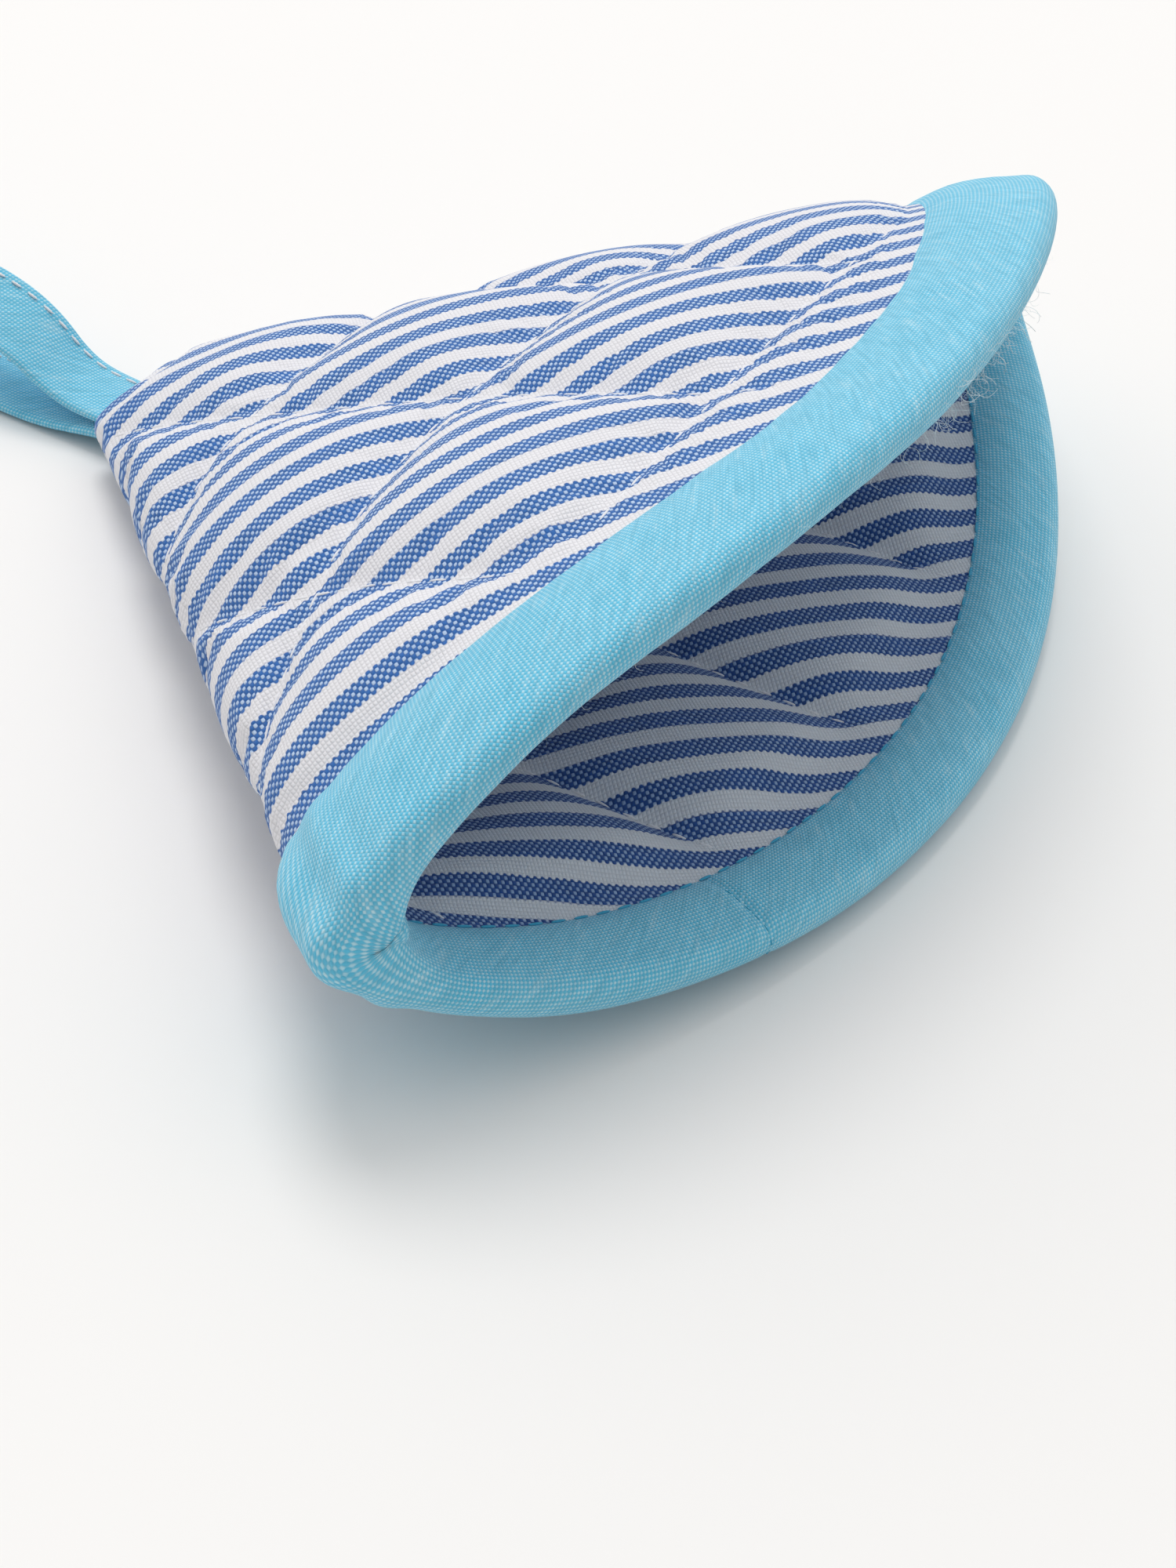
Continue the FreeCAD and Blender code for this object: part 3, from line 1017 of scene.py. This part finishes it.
# ---------------------------------------------------------------------------------- the mouth tape
@dataclass
class MouthTape:
    """The strip of chambray folded round the raw edge of the mouth."""

    pouch: Pouch
    cloth: bpy.types.Material
    thread: bpy.types.Material
    samples: int = 900
    start: float = 0.842
    inner_start: float = 0.903
    edge: float = 0.990
    upper_setback: float = 1.0 * MM
    tuck: float = 1.4 * MM
    low: float = 1.9 * MM
    high: float = 3.9 * MM
    inner_low: float = 0.2 * MM
    inner_high: float = -0.9 * MM
    crown: float = 0.5 * MM
    flat_steps: int = 10
    round_steps: int = 14
    join_across: float = -43.0 * MM
    pinch: float = 4.4 * MM
    pinch_reach: float = 7.0 * MM
    stitch_lift: float = 0.34 * MM
    outer_shift: float = -0.25 * MM
    inner_shift: float = 0.5 * MM
    floor_gap: float = 0.15 * MM

    def profile(self) -> tuple[np.ndarray, np.ndarray, np.ndarray]:
        """The closed section of the tape.

        Returns:
            Distances from the inner point in metres, heights over the pouch's inner face, and how much of the
            section's own relief each point takes: 1 on the outer face, -1 on the inner.
        """
        radius = (self.high - self.inner_high) / 2
        middle = (self.high + self.inner_high) / 2
        first = self.start * self.pouch.mouth_radius
        inner_first = self.inner_start * self.pouch.mouth_radius
        last = self.edge * self.pouch.mouth_radius - radius * 0.9
        along = np.linspace(0, 1, self.flat_steps)
        outer_out = first + self.tuck * 0.35 + (last - first - self.tuck * 0.35) * along
        plump = 1 - (1 - along) ** 4
        outer_up = self.low + (self.high - self.low) * plump + self.crown * np.sin(math.pi * along)
        turn = np.linspace(math.pi / 2, -math.pi / 2, self.round_steps + 2)[1:-1]
        round_out = last + radius * np.cos(turn)
        round_up = middle + radius * np.sin(turn)
        inner_out = last + (inner_first - last) * along
        inner_up = (self.inner_low + (self.inner_high - self.inner_low) * plump)[::-1]
        inner_up = inner_up - self.crown * 0.6 * np.sin(math.pi * along)
        hidden_out = [inner_first, inner_first, first]
        out = np.concatenate([[first, first], outer_out, round_out, inner_out, hidden_out])
        hidden_up = [self.inner_low * 1.2, self.low * 0.72, self.low * 0.68]
        up = np.concatenate([[self.low * 0.72, self.low * 0.8], outer_up, round_up, inner_up, hidden_up])
        plump_face = np.sin(math.pi / 2 * plump)
        face = np.concatenate([[0, 0], plump_face, np.sin(turn), -plump_face[::-1], [0, 0, 0]])
        return out, up, face

    def rim(self) -> tuple[np.ndarray, np.ndarray]:
        """Directions from the inner point to the rim all round, and the normals there."""
        points, normals = self.pouch.inner_face(np.linspace(0.8, 1.0, 9), self.samples)
        return unit(points[-1] - np.array(self.pouch.apex)), normals[-1]

    def travel(self) -> np.ndarray:
        """The distance round the rim from the seamed side.

        Returns:
            A distance for each sample, in metres.
        """
        directions, _ = self.rim()
        steps = np.linalg.norm(np.diff(directions, axis=0), axis=-1) * self.pouch.mouth_radius
        return np.concatenate([[0.0], np.cumsum(steps)])

    def join_sample(self) -> int:
        """Find where the tape's two ends are joined, under the lower half.

        Returns:
            The sample's number.
        """
        directions, _ = self.rim()
        across = np.abs(directions[:, 1] * self.pouch.mouth_radius - self.join_across)
        across[: self.samples // 2] = 1.0
        return int(np.argmin(across))

    def grid(self) -> tuple[np.ndarray, np.ndarray]:
        """Lay the tape round the rim.

        Returns:
            Its points and their places on the flat tape, each shaped (section, samples + 1, ...).
        """
        out, up, face = (np.append(part, part[0]) for part in self.profile())
        directions, normals = self.rim()
        along = self.travel()
        corner = along[self.samples // 2]
        near = np.exp(-(((along - corner) / self.pinch_reach) ** 2))
        far_gap = np.minimum(along, along[-1] - along)
        far = np.exp(-((far_gap / self.pinch_reach) ** 2))
        seam = np.exp(-(((along - along[self.join_sample()]) / (0.8 * MM)) ** 2))
        widths = np.concatenate([[0.0], np.cumsum(np.hypot(np.diff(out), np.diff(up)))])
        flat = np.stack(np.broadcast_arrays(along[None, :], widths[:, None]), -1)
        waves = ripple(flat, 26 * MM, SEED + 5) * (0.16 * MM) + ripple(flat, 9 * MM, SEED + 6) * (0.05 * MM)
        waves = waves * np.sin(math.pi * np.minimum(far_gap / (20 * MM), 1.0) / 2)[None, :]
        folds = np.cos((along - corner) / (3.1 * MM) * math.pi) * near * (0.55 * MM)
        relief = waves - seam[None, :] * (0.35 * MM) + folds[None, :] * (face[:, None] > 0)
        inward = (self.pinch * near + self.pinch * 0.4 * far)[None, :] * np.maximum(-face, 0)[:, None]
        height = up[:, None] + relief * face[:, None] - inward
        lean = np.sin(np.linspace(0, 2 * math.pi, self.samples + 1)) * self.upper_setback
        reach = out[:, None] - lean[None, :]
        points = directions[None] * reach[..., None] + normals[None] * height[..., None]
        points = points + np.array(self.pouch.apex)
        points[..., 2] = np.maximum(points[..., 2], self.floor_gap)
        return points, flat

    def build(self) -> bpy.types.Object:
        """Make the tape as a closed tube round the mouth.

        Returns:
            The tape.
        """
        grid, flat = self.grid()
        cloth = Cloth.lay("mouth_tape", grid, flat)
        edit_all(cloth.piece, bpy.ops.mesh.remove_doubles, threshold=1e-7)
        edit_all(cloth.piece, bpy.ops.mesh.normals_make_consistent, inside=False)
        cloth.piece.data.materials.clear()
        cloth.piece.data.materials.append(self.cloth)
        return cloth.piece

    def build_stitching(self) -> bpy.types.Object:
        """Make the stitches in the ditch along both edges of the tape.

        Returns:
            The stitches.
        """
        row = StitchRow("tape_stitching", self.thread, length=1.9 * MM, gap=0.9 * MM, radius=0.16 * MM)
        grid, _ = self.grid()
        parts = []
        for section, sign, outwards in ((1, 1, self.outer_shift), (-5, -1, self.inner_shift)):
            line = grid[section]
            steps = travelled(line)
            wanted = np.arange(0.5 * row.pitch, steps[-1], row.pitch)
            place = along_line(line, steps, wanted)
            ahead = along_line(line, steps, wanted + row.gap)
            ahead_of_edge = unit(place - np.array(self.pouch.apex)) * outwards
            _, normals = self.rim()
            up = along_line(normals, steps, wanted) * sign
            parts.append((place + ahead_of_edge + up * self.stitch_lift, ahead - place, up))
        places, forward, normals = (np.concatenate(group) for group in zip(*parts))
        return row.build(places, forward, normals)

    def build_join(self) -> bpy.types.Object:
        """Make the small stitches down the seam that joins the tape's ends.

        Returns:
            The stitches.
        """
        row = StitchRow("tape_join_seam", self.thread, length=1.0 * MM, gap=0.5 * MM, radius=0.11 * MM)
        grid, _ = self.grid()
        line = grid[4:-6, self.join_sample()]
        steps = travelled(line)
        wanted = np.arange(row.pitch, steps[-1] - row.pitch, row.pitch)
        place = along_line(line, steps, wanted)
        ahead = along_line(line, steps, wanted + row.gap)
        beside = grid[4:-6, self.join_sample() + 1] - line
        sideways = along_line(beside, steps, wanted)
        return row.build(place, ahead - place, np.cross(ahead - place, sideways))


@dataclass
class Fuzz:
    """Loose fibres that stand out of the tape's rolled edge."""

    tape: MouthTape
    fibre: bpy.types.Material
    count: int = 170
    radius: float = 0.026 * MM
    length: float = 2.4 * MM
    steps: int = 7
    middle: float = 0.25
    spread: float = 0.028
    reach: tuple[float, float] = (0.17, 0.47)

    def strand(self) -> bpy.types.Object:
        """Make one curled fibre, standing along Z.

        Returns:
            The fibre.
        """
        share = np.linspace(0, 1, self.steps + 1)
        curl = [0.28 * np.sin(3.4 * share), 0.2 * (1 - np.cos(4.6 * share)), share]
        line = np.stack(curl, -1) * self.length
        turn = np.linspace(0, 2 * math.pi, 4)
        ring = np.stack([np.cos(turn), np.sin(turn), np.zeros_like(turn)], -1) * self.radius
        grid = line[:, None] + ring[None]
        cloth = Cloth.lay("fibre", grid, np.zeros(grid.shape[:2] + (2,)))
        edit_all(cloth.piece, bpy.ops.mesh.remove_doubles, threshold=1e-7)
        fill_ends(cloth.piece)
        edit_all(cloth.piece, bpy.ops.mesh.normals_make_consistent, inside=False)
        return cloth.piece

    def build(self) -> bpy.types.Object:
        """Scatter the fibres, most of them on the upper half towards the seamed corner.

        Returns:
            The joined fibres.
        """
        rng = np.random.default_rng(SEED + 20)
        grid, _ = self.tape.grid()
        first = self.strand()
        copies = []
        first_section = self.tape.flat_steps + 8
        rolled = range(first_section, self.tape.flat_steps + self.tape.round_steps + 5)
        for number in range(self.count):
            spread = rng.normal(self.middle, self.spread) if number % 4 else rng.uniform(*self.reach)
            column = int(np.clip(spread, *self.reach) * self.tape.samples)
            section = int(rng.choice(rolled))
            place = grid[section, column]
            along = grid[section, column + 1] - place
            out = unit(np.cross(along, grid[section + 1, column] - place))
            out = unit(out + rng.normal(0, 0.5, 3))
            turn = Vector(out).to_track_quat("Z", "Y").to_matrix().to_4x4()
            spin = Matrix.Rotation(rng.uniform(0, 2 * math.pi), 4, "Z")
            size = Matrix.Scale(rng.uniform(0.3, 1.25 if number % 4 else 0.6), 4)
            copy = first.copy()
            copy.data = first.data.copy()
            copy.data.transform(Matrix.Translation(Vector(place)) @ turn @ spin @ size)
            bpy.context.scene.collection.objects.link(copy)
            copies.append(copy)
        bpy.data.objects.remove(first)
        return join(copies, "tape_fuzz", self.fibre)


# ---------------------------------------------------------------------------------------- the loop
@dataclass
class HangingLoop:
    """The strap that is folded double and sewn into the blunt point."""

    pivot: Vector
    cloth: bpy.types.Material
    thread: bpy.types.Material
    width: float = 10.4 * MM
    thickness: float = 1.7 * MM
    samples: int = 240
    edge_inset: float = 1.3 * MM
    sway: float = 0.35
    tilt: float = 20.0
    stitch_hollow: float = 0.22
    hollow_width: float = 0.8 * MM
    ripple_length: float = 11 * MM
    ripple_height: float = 0.06 * MM
    route: tuple[tuple[float, float], ...] = (
        (18, 0.9), (13, 0.9), (8, 0.9), (4, 1.3), (0.2, 3.0), (-2.9, 5.4), (-6.2, 7.0), (-10, 8.1),
        (-15, 8.9), (-24, 10.0), (-34, 11.6), (-43, 12.0), (-49, 9.0), (-49.2, 3.2), (-44, -1.0),
        (-35, -2.6), (-24, -2.7), (-12, -2.7), (-4, -2.7), (2, -2.5), (6, -1.7), (12, -0.9), (18, -0.9),
    )

    def path(self) -> np.ndarray:
        """Draw the strap's middle line as a smooth curve through its route.

        Returns:
            Evenly spaced points, shaped (samples + 1, 3).
        """
        curve = bpy.data.curves.new("loop_path", "CURVE")
        curve.dimensions = "3D"
        spline = curve.splines.new("NURBS")
        spline.points.add(len(self.route) - 1)
        for point, (x, z) in zip(spline.points, self.route):
            place = self.pivot + Vector((x, min(z, 0.0) * self.sway, z)) * MM
            point.co = (*place, 1.0)
        spline.order_u = 3
        spline.use_endpoint_u = True
        spline.resolution_u = 24
        carrier = bpy.data.objects.new("loop_path", curve)
        bpy.context.scene.collection.objects.link(carrier)
        mesh = bpy.data.meshes.new_from_object(carrier)
        raw = np.array([vertex.co[:] for vertex in mesh.vertices])
        bpy.data.objects.remove(carrier)
        bpy.data.curves.remove(curve)
        bpy.data.meshes.remove(mesh)
        travel = travelled(raw)
        return along_line(raw, travel, np.linspace(0, travel[-1], self.samples + 1))

    def frames(self) -> tuple[np.ndarray, np.ndarray, np.ndarray, np.ndarray]:
        """Work out how the strap stands along its middle line.

        Returns:
            The middle line, its direction, and the strap's sideways and upward directions.
        """
        line = self.path()
        forward = unit(np.gradient(line, axis=0))
        share = np.linspace(0, 1, self.samples + 1)
        tilt = smooth_step(0.10, 0.22, share) * (1 - smooth_step(0.32, 0.5, share))
        tilt = math.radians(self.tilt) * tilt
        side = np.zeros_like(line)
        side[:, 1] = 1.0
        up = unit(np.cross(forward, side)) * -1.0
        across = side * np.cos(tilt)[:, None] + up * np.sin(tilt)[:, None]
        upright = up * np.cos(tilt)[:, None] - side * np.sin(tilt)[:, None]
        return line, forward, across, upright

    def build(self) -> bpy.types.Object:
        """Make the strap as a closed band with folded edges.

        Returns:
            The strap.
        """
        line, _, across, upright = self.frames()
        corner = np.linspace(0, 2 * math.pi, 33)
        wide = np.sign(np.cos(corner)) * np.abs(np.cos(corner)) ** 0.40 * self.width / 2
        past_stitches = np.abs(wide) - self.width / 2 + self.edge_inset * 1.4
        hollow = 1 - self.stitch_hollow * np.exp(-((past_stitches / self.hollow_width) ** 2))
        tall = np.sign(np.sin(corner)) * np.abs(np.sin(corner)) ** 0.7 * self.thickness / 2 * hollow
        grid = line[None] + across[None] * wide[:, None, None] + upright[None] * tall[:, None, None]
        travel = travelled(line)
        girth = np.concatenate([[0.0], np.cumsum(np.hypot(np.diff(wide), np.diff(tall)))])
        flat = np.stack(np.broadcast_arrays(travel[None, :], girth[:, None]), -1)
        waves = ripple(flat, self.ripple_length, SEED + 8) * self.ripple_height
        grid = grid + upright[None] * waves[..., None]
        grid[-1] = grid[0]
        cloth = Cloth.lay("loop_strap", grid, flat)
        edit_all(cloth.piece, bpy.ops.mesh.remove_doubles, threshold=1e-7)
        fill_ends(cloth.piece)
        edit_all(cloth.piece, bpy.ops.mesh.normals_make_consistent, inside=False)
        cloth.piece.data.materials.clear()
        cloth.piece.data.materials.append(self.cloth)
        return cloth.piece

    def build_stitching(self) -> bpy.types.Object:
        """Make the rows of white stitches along one edge of the strap.

        Returns:
            The stitches.
        """
        row = StitchRow("loop_edge_stitching", self.thread, length=1.7 * MM, gap=0.75 * MM, radius=0.17 * MM)
        line, forward, across, upright = self.frames()
        steps = travelled(line)
        edge = self.width / 2 - self.edge_inset
        rows = []
        for sign in (1, -1):
            wanted = np.arange(7 * MM, steps[-1] - 7 * MM, row.pitch)
            place = line + across * edge + upright * sign * self.thickness * 0.40
            rows.append([along_line(part, steps, wanted) for part in (place, forward, upright * sign)])
        places, ways, normals = (np.concatenate(group) for group in zip(*rows))
        return row.build(places, ways, normals)


# -------------------------------------------------------------------------------------- the studio
@dataclass(frozen=True)
class Studio:
    """The floor, the light and the camera."""

    pouch: Pouch
    azimuth: float = 0.4067
    elevation: float = 0.7163
    roll: float = 0.1321
    distance: float = 2.356
    shift_across: float = 0.0274
    shift_up: float = 0.252
    aim: tuple[float, float, float] = (0.6, 0.0, 0.1)
    lens: float = 57.83
    bright_side: tuple[float, float, float] = (-0.35, 0.45, 0.82)
    dim_sky: float = 0.30
    bright_sky: float = 1.05
    lamp_place: tuple[float, float, float] = (-1.1, 1.0, 3.4)
    lamp_size: float = 1.8
    lamp_power: float = 49.0
    floor_size: float = 6.0
    floor_colour: Colour = (0.90, 0.885, 0.868, 1.0)

    def camera(self) -> None:
        """Place the camera; its distances are shares of the mouth's radius."""
        az, el = self.azimuth, self.elevation
        back = Vector((math.sin(az) * math.cos(el), -math.cos(az) * math.cos(el), math.sin(el)))
        right = Vector((0, 0, 1)).cross(back).normalized()
        up = back.cross(right)
        c, s = math.cos(self.roll), math.sin(self.roll)
        right, up = c * right + s * up, c * up - s * right
        radius = self.pouch.mouth_radius
        place = self.pouch.apex + radius * (
            Vector(self.aim) - right * self.shift_across - up * self.shift_up + back * self.distance
        )
        data = bpy.data.cameras.new("camera")
        data.lens = self.lens
        data.sensor_width = 36.0
        data.clip_start = 0.01
        camera = bpy.data.objects.new("camera", data)
        camera.matrix_world = Matrix.Translation(place) @ Matrix((right, up, back)).transposed().to_4x4()
        bpy.context.scene.collection.objects.link(camera)
        bpy.context.scene.camera = camera

    def floor(self) -> None:
        """A wide pale floor."""
        deselect_all()
        bpy.ops.mesh.primitive_plane_add(size=self.floor_size, location=(0, 0, 0))
        floor = bpy.context.active_object
        floor.name = "floor"
        material = bpy.data.materials.new("floor")
        material.use_nodes = True
        shader = material.node_tree.nodes["Principled BSDF"]
        shader.inputs["Base Color"].default_value = self.floor_colour
        shader.inputs["Roughness"].default_value = 0.95
        floor.data.materials.append(material)

    def lights(self) -> None:
        """Soft light all round, and a large lamp to the upper left."""
        world = bpy.data.worlds.new("studio")
        world.use_nodes = True
        nodes, links = world.node_tree.nodes, world.node_tree.links
        direction = nodes.new("ShaderNodeTexCoord").outputs["Generated"]
        dot = nodes.new("ShaderNodeVectorMath")
        dot.operation = "DOT_PRODUCT"
        dot.inputs[1].default_value = self.bright_side
        links.new(direction, dot.inputs[0])
        ramp = nodes.new("ShaderNodeMapRange")
        ramp.inputs["From Min"].default_value = -0.2
        ramp.inputs["To Min"].default_value = self.dim_sky
        ramp.inputs["To Max"].default_value = self.bright_sky
        links.new(dot.outputs["Value"], ramp.inputs["Value"])
        links.new(ramp.outputs["Result"], nodes["Background"].inputs["Strength"])
        nodes["Background"].inputs["Color"].default_value = (1.0, 1.0, 1.0, 1.0)
        bpy.context.scene.world = world
        data = bpy.data.lights.new("lamp", "AREA")
        data.shape = "DISK"
        data.size = self.lamp_size
        data.energy = self.lamp_power
        lamp = bpy.data.objects.new("lamp", data)
        lamp.location = self.lamp_place
        lamp.rotation_euler = Vector(self.lamp_place).to_track_quat("Z", "Y").to_euler()
        bpy.context.scene.collection.objects.link(lamp)
        bpy.context.scene.view_settings.view_transform = "Standard"

    def build(self) -> None:
        """Make the whole studio."""
        self.camera()
        self.floor()
        self.lights()


# -------------------------------------------------------------------------------------------- main
CLOTH_NODES = ("upper", "lower", "near_fold", "far_side")


@dataclass(frozen=True)
class Joints:
    """Where the mitt bends: at the hinge of its mouth, and at the root of its loop."""

    point_height: float = 4.6 * MM        # from the table to the inner point
    lean: float = 10.45                   # how far the lower half tips up
    mouth_below: float = 20 * MM
    mouth_above: float = 26 * MM
    loop_inset: float = 1.6 * MM
    loop_height: float = 3.73 * MM
    loop_inside: float = 4 * MM
    loop_outside: float = 6 * MM

    def loop_pivot(self) -> Vector:
        """The middle of the strap's root."""
        return Vector((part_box("loop_strap")[1].x - self.loop_inset, 0.0, self.loop_height))


def named(stem: str) -> list[str]:
    """The names of the four nodes of one layer of the quilt."""
    return [f"{stem}_{region}" for region in CLOTH_NODES]


def main() -> None:
    """Build the mitt round the frame."""
    logging.basicConfig(level=logging.INFO, format="%(message)s")
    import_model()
    low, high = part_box("wadding_lower")
    joints = Joints()
    apex = Vector((low.x, 0.0, joints.point_height))
    pouch = Pouch(apex=apex, mouth_radius=high.x - low.x)
    canvas = StripedCanvas().material()
    # The lining uses the same striped canvas in darker, greyer colours: painted shade for the inside of the
    # pocket.
    shaded_lining_canvas = StripedCanvas(
        "striped_lining",
        blue=(0.010, 0.065, 0.26, 1.0),
        white=(0.70, 0.735, 0.79, 1.0),
        dot=(0.30, 0.43, 0.66, 1.0),
    ).material()
    chambray = Chambray().material()
    white_thread = Thread("white_thread", (0.85, 0.85, 0.88, 1.0)).material()
    fibre = Thread("fibre", (0.85, 0.95, 0.98, 1.0)).material()
    blue_thread = Thread("blue_thread", (0.05, 0.39, 0.61, 1.0)).material()

    def across_mouth(piece: bpy.types.Object, slot: str, *nodes: str) -> None:
        """Bake a piece's transform into its mesh, hide the nodes that it replaces, and log its face count.

        Args:
            piece: The piece.
            slot: Its material slot. Not used.
            nodes: The nodes that it replaces, if any.
        """
        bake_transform(piece)
        if nodes:
            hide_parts(*nodes)
        LOG.info("%s: %d faces", piece.name, len(piece.data.polygons))

    quilting = Quilting()
    quilt = Quilt(pouch, quilting, canvas, shaded_lining_canvas)
    cover = quilt.build_cover()
    hidden = ["cover_apex", "apex_seam_allowance", "side_seam_allowance", "side_seam_thread"]
    across_mouth(cover, "striped_canvas", *named("cover"), *hidden, *named("wadding"))
    lining = quilt.build_lining()
    across_mouth(lining, "striped_lining", *named("lining"))

    row = StitchRow("quilting_stitches", white_thread)
    reaches = np.linspace(quilt.first_reach, quilt.last_reach, quilt.rows + 1)
    outside = Surface(quilt.faces[Face.OUTSIDE], reaches, pouch.mouth_radius)
    stitches = row.build(*quilting_places(quilting, outside, row, quilt.tape_start - 0.01))
    across_mouth(stitches, "white_thread", "quilting_thread_upper", "quilting_thread_lower")
    row = StitchRow("lining_stitches", white_thread, length=1.8 * MM, gap=1.3 * MM)
    reaches = np.linspace(quilt.first_reach, quilt.last_reach, quilt.rows * 3 // 4 + 1)
    inside = Surface(quilt.faces[Face.INSIDE], reaches, pouch.mouth_radius)
    places, forward, normals = quilting_places(quilting, inside, row, quilt.inner_tape_start - 0.01)
    across_mouth(row.build(places, forward, -normals), "white_thread")

    maker = MouthTape(pouch, chambray, blue_thread)
    across_mouth(maker.build(), "chambray", "mouth_tape_upper", "mouth_tape_lower", "mouth_tape_near_corner",
                 "mouth_tape_far_corner")
    across_mouth(maker.build_stitching(), "blue_thread", "tape_stitching_upper", "tape_stitching_lower",
                 "tape_stitching_near_fold", "tape_stitching_far_side")
    across_mouth(maker.build_join(), "blue_thread", "tape_join_seam")
    across_mouth(Fuzz(maker, fibre).build(), "chambray")

    pivot = joints.loop_pivot()
    strap = HangingLoop(pivot, chambray, white_thread)
    for piece, slot, nodes in (
        (strap.build(), "chambray", ("loop_strap", "loop_ends")),
        (strap.build_stitching(), "white_thread", ("loop_edge_stitching",)),
    ):
        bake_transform(piece)
        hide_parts(*nodes)
        LOG.info("%s: %d faces", piece.name, len(piece.data.polygons))

    Studio(pouch).build()


if __name__ == "__main__":
    main()
